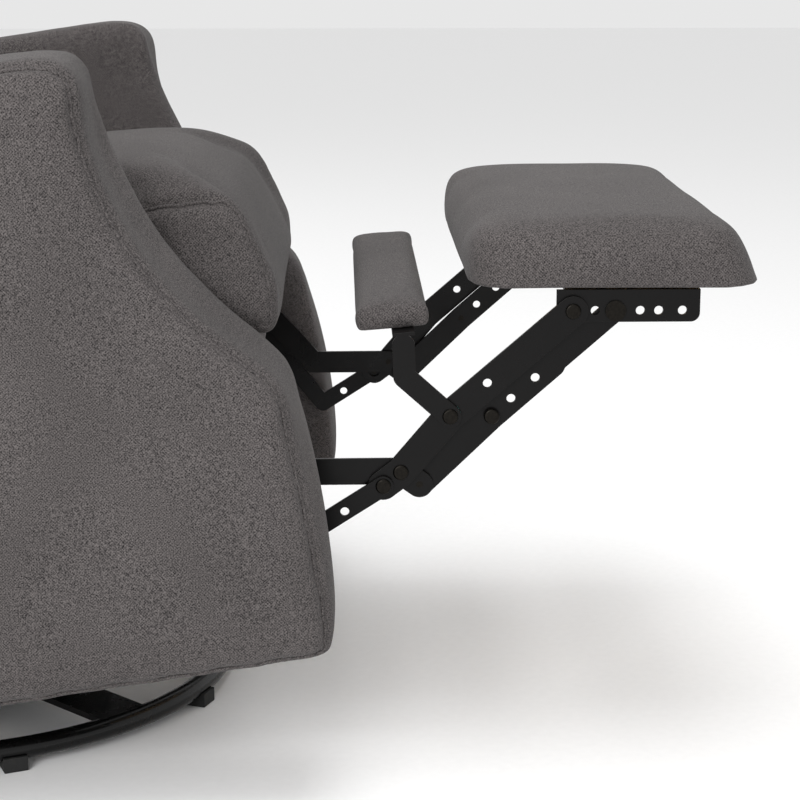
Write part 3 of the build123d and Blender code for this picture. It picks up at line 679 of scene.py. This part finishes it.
# ------------------------------------------------------------ footrest and middle pad
def make_footrest():
    """The footrest's cover: held round the board's pocket, crowned on top, and sloped back at the toe end."""
    crown, toe_lip, toe_slope = 6, 4, 24
    crown_reach, half_width = 0.13, 0.249
    pad = skin("footrest_cover", [nodes["footrest_pad"].data], voxel=5)
    low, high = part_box("footrest_board")
    pad_low, pad_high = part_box("footrest_pad")
    points, normals = read(pad.data), read(pad.data, "normal")
    over_board = (points[:, 0] > low.x - 3 * MM) & (points[:, 0] < high.x + 3 * MM) \
        & (abs(points[:, 1]) < high.y + 3 * MM)
    pocket = over_board & (points[:, 2] < high.z + 3 * MM)
    held = pocket | ((normals[:, 2] < -0.7) & (points[:, 2] < low.z + 4 * MM))
    relax(pad.data, rounds=22, freedom=np.where(held, 0, 0.5))
    plump(pad, pressure=1.2, cap=4, held=held)
    points = read(pad.data)
    middle = (pad_low + pad_high) / 2
    along = np.clip(1 - ((points[:, 0] - middle.x) / crown_reach) ** 2, 0, 1)
    across = np.clip(1 - (points[:, 1] / half_width) ** 2, 0, 1)
    points[:, 2] += crown * MM * along * across * ~pocket
    toe = np.clip((points[:, 0] - middle.x) / (pad_high.x - middle.x), 0, 1.05) ** 3
    height = np.clip((points[:, 2] - low.z) / (pad_high.z - low.z), 0, 1.2)
    points[:, 0] += toe * (toe_lip - toe_slope * height) * MM * ~pocket
    write(pad.data, points)
    soften(pad, height=0.8, size=90, seed=11)
    subdivide(pad)
    upholster(pad, "footrest", 0.8, "footrest_pad")


def make_middle():
    pad = skin("middle_cover", [nodes["middle_pad"].data, nodes["middle_board"].data], voxel=4)
    held = read(pad.data, "normal")[:, 2] < -0.7
    relax(pad.data, rounds=4, freedom=np.where(held, 0.2, 0.5))
    plump(pad, pressure=4, cap=4, held=held)
    subdivide(pad)
    upholster(pad, "middle_rest", 0.8, "middle_pad", "middle_board")


# ------------------------------------------------------------ straps and cloth under the padding
def ribbon(name, rows, thickness):
    """A sheet from rows of points, with a real thickness in millimetres."""
    work = bmesh.new()
    grid = [[work.verts.new(p) for p in row] for row in rows]
    for upper, lower in zip(grid, grid[1:]):
        for i in range(len(upper) - 1):
            work.faces.new((upper[i], upper[i + 1], lower[i + 1], lower[i]))
    mesh = bpy.data.meshes.new(name)
    work.to_mesh(mesh)
    work.free()
    piece = shown(name, mesh)
    thick = piece.modifiers.new("thickness", "SOLIDIFY")
    thick.thickness = thickness * MM
    thick.offset = 0
    settle(piece)
    piece.data.shade_smooth()
    return piece


def make_webbing():
    """Straps across the back frame, which bow to the rear under the cushion."""
    behind, bow, half_length = 59, 4, 225
    for i, height in enumerate((150, 220, 430, 510)):
        rows = [[leaned((-behind - bow * cos(pi * t / 2)) * MM, t * half_length * MM, (height + z) * MM)
                 for t in np.linspace(-1, 1, 25)] for z in (-25, -12, 0, 12, 25)]
        strap = ribbon(f"back_strap_{i + 1}", rows, thickness=1.6)
        coat(strap, STRAPPING)
        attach(strap, "back")
    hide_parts("back_webbing")


def make_spring_cover():
    """The dust cloth over the springs, which dips between them."""
    low, high = -134, 378
    level, dip = 349.6, 0.35
    side = CUSHION_SIDE
    rows = [[tipped(x * MM, y, (level - dip * (1 - cos(2 * pi * 2 * y / side))) * MM)
             for y in np.linspace(-side, side, 61)] for x in np.linspace(low, high, 41)]
    cloth = ribbon("spring_dust_cloth", rows, thickness=0.8)
    coat(cloth, LINING)
    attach(cloth, "chair_body")
    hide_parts("spring_cover")


def make_apron():
    """The cover's cloth, stapled round the front seat rail."""
    half = 0.249
    turn = [(378.7, 345), (378.8, 336), (378.8, 326), (378.7, 319.4),
            (377.6, 317.6), (375, 317.2), (364, 317.3), (354, 317.2)]
    rows = [[tipped(x * MM, y, z * MM) for y in np.linspace(-half, half, 41)] for x, z in turn]
    apron = ribbon("front_rail_cloth", rows, thickness=0.9)
    coat(apron, UPHOLSTERY)
    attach(apron, "chair_body")


def make_skirt():
    """The cloth between the back's lower edge and the rear panel."""
    half, ripple = 0.243, 0.5
    fall = [(-279, 336), (-281, 330), (-284, 322), (-285.4, 312), (-286, 300), (-286.2, 288), (-286.4, 274)]
    rows = [[tipped((x - ripple * sin(60 * y)) * MM, y, z * MM) for y in np.linspace(-half, half, 61)]
            for x, z in fall]
    skirt = ribbon("back_skirt", rows, thickness=0.9)
    coat(skirt, UPHOLSTERY)
    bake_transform(skirt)


def make_floor():
    work = bmesh.new()
    bmesh.ops.create_grid(work, x_segments=2, y_segments=2, size=14)
    mesh = bpy.data.meshes.new("studio_floor")
    work.to_mesh(mesh)
    work.free()
    floor = shown("studio_floor", mesh)
    coat(floor, studio_floor())


make_camera()
make_light()
make_floor()
finish_hardware()
make_arms()
make_seat()
make_back()
make_back_cover()
make_rear_panel()
make_footrest()
make_middle()
make_webbing()
make_spring_cover()
make_apron()
make_skirt()
